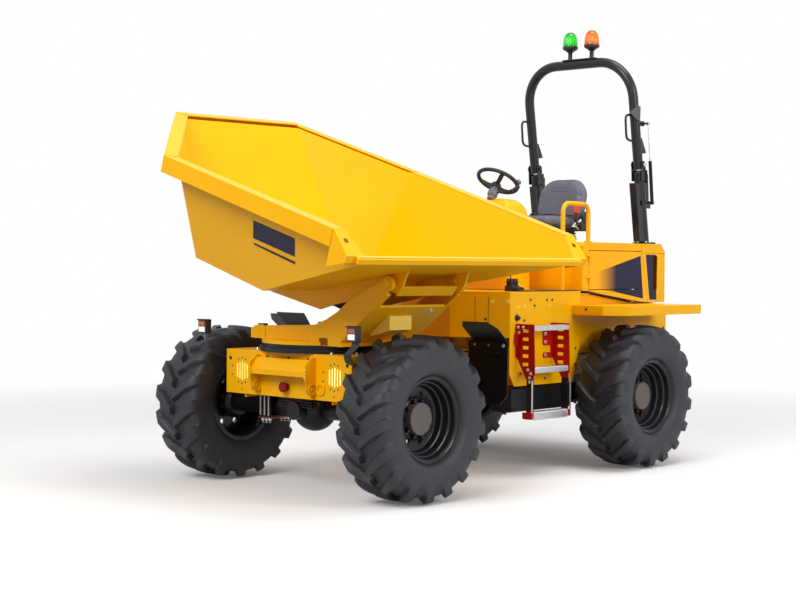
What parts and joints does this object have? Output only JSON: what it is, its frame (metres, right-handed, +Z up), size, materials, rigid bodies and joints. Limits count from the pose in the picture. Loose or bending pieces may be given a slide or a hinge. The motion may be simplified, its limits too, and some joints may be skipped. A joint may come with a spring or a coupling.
{
  "type": "swivel-skip site dumper",
  "caption": "Centre-articulated site dumper with a swivelling tipping skip, open operator seat, folding roll-over hoop, side ladder and lugged tyres.",
  "frame": {"origin": "on the ground under the middle of the machine's box as stored, with the skip swung left and partly tipped", "axes": "+X forward along the machine, the longest extent; +Y to the machine's left; +Z up"},
  "size_m": [4.5833, 2.6131, 3.423],
  "materials": {
    "yellow_paint": "gloss",
    "black_paint": "satin",
    "tyre_rubber": "matt",
    "red_paint": "gloss",
    "galvanised_steel": "satin",
    "rod_chrome": "polished",
    "grey_seat": "matt",
    "black_plastic": "matt",
    "black_rubber": "matt",
    "green_lens": "gloss",
    "amber_lens": "gloss",
    "clear_lens": "clear",
    "grey_block": "cast"
  },
  "bodies": {
    "front_half": {"front_chassis": "yellow_paint", "front_axle": "black_paint", "axle_clamps": "black_paint", "headlamps": "clear_lens", "tow_pin": "red_paint", "marker_lights": "black_paint", "front_guards": "black_paint", "slew_ring_base": "black_paint", "pivot_pin": "galvanised_steel"},
    "rear_half": {"rear_chassis": "yellow_paint", "rear_axle": "black_paint", "rear_axle_clamps": "black_paint", "mid_body": "yellow_paint", "footplate": "yellow_paint", "side_tanks": "black_paint", "cowl": "yellow_paint", "fenders": "yellow_paint", "rear_deck": "yellow_paint", "engine": "grey_block", "radiator": "grey_block", "console": "yellow_paint", "steering_wheel": "black_plastic", "seat_base": "black_paint", "seat_cushion": "grey_seat", "seat_back": "grey_seat", "grab_hoops": "yellow_paint", "ladder_rungs": "galvanised_steel", "ladder_frame": "red_paint", "rops_posts": "black_paint", "tow_hitch": "black_paint", "rear_lamps": "red_paint"},
    "turret": {"turret_frame": "yellow_paint", "slew_ring_top": "black_paint", "buffers": "black_rubber", "turret_flap": "black_rubber"},
    "skip": {"skip_shell": "yellow_paint", "skip_rim": "yellow_paint", "skip_bearers": "yellow_paint"},
    "tip_barrel": {"tip_ram_barrel": "black_paint"},
    "tip_rod": {"tip_ram_rod": "rod_chrome"},
    "steer_barrel": {"steer_ram_barrel": "black_paint"},
    "steer_rod": {"steer_ram_rod": "rod_chrome"},
    "hoop": {"rops_hoop": "black_paint", "beacon_green": "green_lens", "beacon_amber": "amber_lens"},
    "strut_tube": {"strut_barrel": "black_paint"},
    "strut_slider": {"strut_rod": "rod_chrome"},
    "left_door": {"door_left": "yellow_paint"},
    "right_door": {"door_right": "yellow_paint"},
    "wheel_front_left": {"tyre_front_left": "tyre_rubber", "rim_front_left": "black_paint"},
    "wheel_front_right": {"tyre_front_right": "tyre_rubber", "rim_front_right": "black_paint"},
    "wheel_rear_left": {"tyre_rear_left": "tyre_rubber", "rim_rear_left": "black_paint"},
    "wheel_rear_right": {"tyre_rear_right": "tyre_rubber", "rim_rear_right": "black_paint"}
  },
  "joints": [
    {"name": "steer", "type": "hinge", "parent": "front_half", "child": "rear_half", "pos_m": [-0.042, -0.19, 0.715], "axis": [0, 0, 1], "range_deg": [-33, 33]},
    {"name": "skip_swivel", "type": "hinge", "parent": "front_half", "child": "turret", "pos_m": [1.118, -0.19, 0.93], "axis": [0, 0, 1], "range_deg": [-175, 5]},
    {"name": "skip_tip", "type": "hinge", "parent": "turret", "child": "skip", "pos_m": [1.2008, 0.75638, 1.39998], "axis": [-0.9962, 0.0872, 0], "range_deg": [-12, 48]},
    {"name": "tip_ram_swing", "type": "hinge", "parent": "turret", "child": "tip_barrel", "pos_m": [1.16681, 0.36787, 1.14], "axis": [-0.9962, 0.0872, 0], "range_deg": [-14.85, 56.41]},
    {"name": "tip_ram_slide", "type": "slide", "parent": "tip_barrel", "child": "tip_rod", "axis": [-0.084, -0.9603, 0.2662], "range_m": [-0.0939, 0.3635]},
    {"name": "steer_ram_swing", "type": "hinge", "parent": "rear_half", "child": "steer_barrel", "pos_m": [-0.45, -0.49, 0.6], "axis": [0, 0, 1], "range_deg": [-15, 15]},
    {"name": "steer_ram_slide", "type": "slide", "parent": "steer_barrel", "child": "steer_rod", "axis": [0.9987, 0.0514, 0], "range_m": [-0.163, 0.163]},
    {"name": "rops_fold", "type": "hinge", "parent": "rear_half", "child": "hoop", "pos_m": [-1.88355, -0.19, 2.33], "axis": [0, -1, 0], "range_deg": [0, 90]},
    {"name": "strut_swing", "type": "hinge", "parent": "rear_half", "child": "strut_tube", "pos_m": [-1.98355, 0.396, 2.03], "axis": [0, -1, 0], "range_deg": [-1, 47.77]},
    {"name": "strut_slide", "type": "slide", "parent": "strut_tube", "child": "strut_slider", "axis": [0.1104, 0, 0.9939], "range_m": [-0.2812, 0.002]},
    {"name": "door_left_open", "type": "hinge", "parent": "rear_half", "child": "left_door", "pos_m": [-1.094, 0.419, 1.335], "axis": [0, 0, -1], "range_deg": [0, 90]},
    {"name": "door_right_open", "type": "hinge", "parent": "rear_half", "child": "right_door", "pos_m": [-1.094, -0.799, 1.335], "axis": [0, 0, 1], "range_deg": [0, 90]},
    {"name": "spin_front_left", "type": "hinge", "parent": "front_half", "child": "wheel_front_left", "pos_m": [1.238, 0.6875, 0.5375], "axis": [0, 1, 0], "continuous": true},
    {"name": "spin_front_right", "type": "hinge", "parent": "front_half", "child": "wheel_front_right", "pos_m": [1.238, -1.0675, 0.5375], "axis": [0, 1, 0], "continuous": true},
    {"name": "spin_rear_left", "type": "hinge", "parent": "rear_half", "child": "wheel_rear_left", "pos_m": [-1.322, 0.6875, 0.5375], "axis": [0, 1, 0], "continuous": true},
    {"name": "spin_rear_right", "type": "hinge", "parent": "rear_half", "child": "wheel_rear_right", "pos_m": [-1.322, -1.0675, 0.5375], "axis": [0, 1, 0], "continuous": true}
  ],
  "couplings": [
    {"joint": "tip_ram_swing", "follows": "skip_tip", "ratio": 1.1545},
    {"joint": "tip_ram_slide", "follows": "skip_tip", "m_per_rad": 0.4291},
    {"joint": "steer_ram_swing", "follows": "steer", "ratio": -0.4242},
    {"joint": "steer_ram_slide", "follows": "steer", "m_per_rad": -0.2761},
    {"joint": "strut_swing", "follows": "rops_fold", "ratio": 0.5196},
    {"joint": "strut_slide", "follows": "rops_fold", "m_per_rad": -0.1777}
  ]
}
